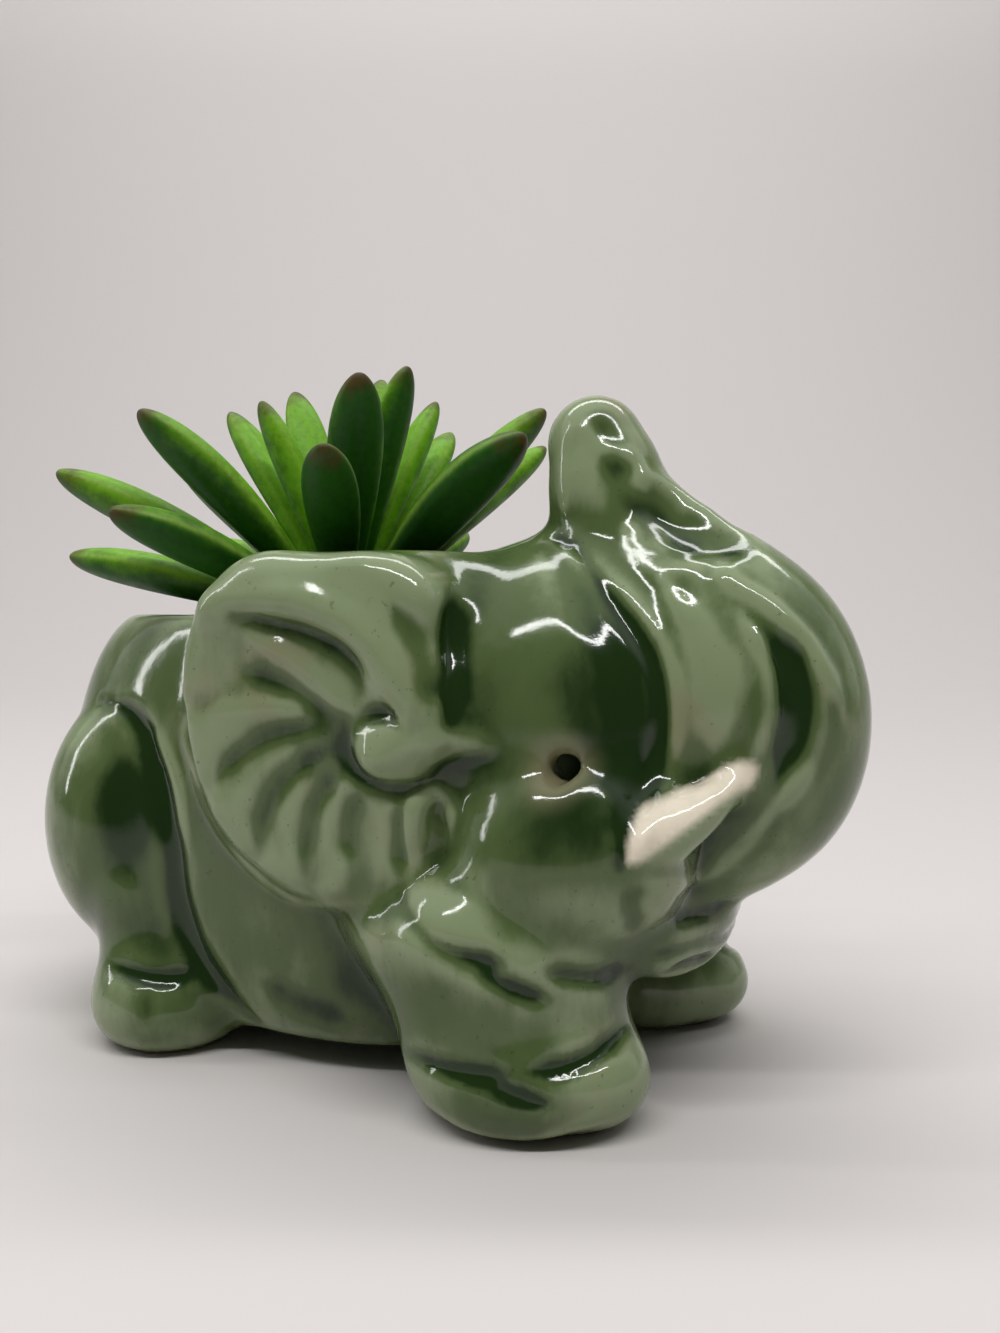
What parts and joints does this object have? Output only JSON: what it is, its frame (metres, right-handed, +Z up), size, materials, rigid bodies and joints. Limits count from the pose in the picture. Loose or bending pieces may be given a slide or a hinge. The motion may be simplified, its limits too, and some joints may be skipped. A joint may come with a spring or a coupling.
{
  "type": "animal shaped planter",
  "caption": "Glazed ceramic planter shaped as a standing elephant, with an artificial succulent in a foam block in its open back.",
  "frame": {"origin": "centre of the footprint of the whole object, on the surface that the feet stand on", "axes": "+X towards the elephant's trunk, +Y towards its left side, +Z up"},
  "size_m": [0.1618, 0.091, 0.1294],
  "materials": {
    "glazed_ceramic": "glossy celadon green glaze that pools dark in the recesses, ivory on the tusks",
    "dry_foam": "matt open-celled dry foam",
    "plant_stem": "matt moulded plastic",
    "leaf": "satin soft moulded leaf, brown-red at the tip"
  },
  "bodies": {
    "planter": {"planter_body": "glazed_ceramic"},
    "filler": {"foam_block": "dry_foam"},
    "plant": {"plant_core": "plant_stem", "leaf_rear_low": "leaf", "leaf_rear_right_low": "leaf", "leaf_right_low": "leaf", "leaf_rear_left_low": "leaf", "leaf_left_low": "leaf", "leaf_front_left_low": "leaf", "leaf_right_mid": "leaf", "leaf_rear_mid": "leaf", "leaf_rear_left_mid": "leaf", "leaf_left_mid": "leaf", "leaf_front_right_mid": "leaf", "leaf_front_mid": "leaf", "leaf_front_left_mid": "leaf", "leaf_left_front_mid": "leaf", "leaf_left_high": "leaf", "leaf_front_right_high": "leaf", "leaf_front_high": "leaf", "leaf_front_left_high": "leaf", "leaf_left_top": "leaf", "leaf_rear_left_high": "leaf", "leaf_rear_high": "leaf", "leaf_rear_right_high": "leaf", "leaf_centre": "leaf"}
  },
  "joints": [
    {"name": "foam_lift", "type": "slide", "parent": "planter", "child": "filler", "axis": [0, 0, 1], "range_m": [0, 0.085]},
    {"name": "plant_pull", "type": "slide", "parent": "filler", "child": "plant", "axis": [0, 0, 1], "range_m": [0, 0.032]}
  ]
}
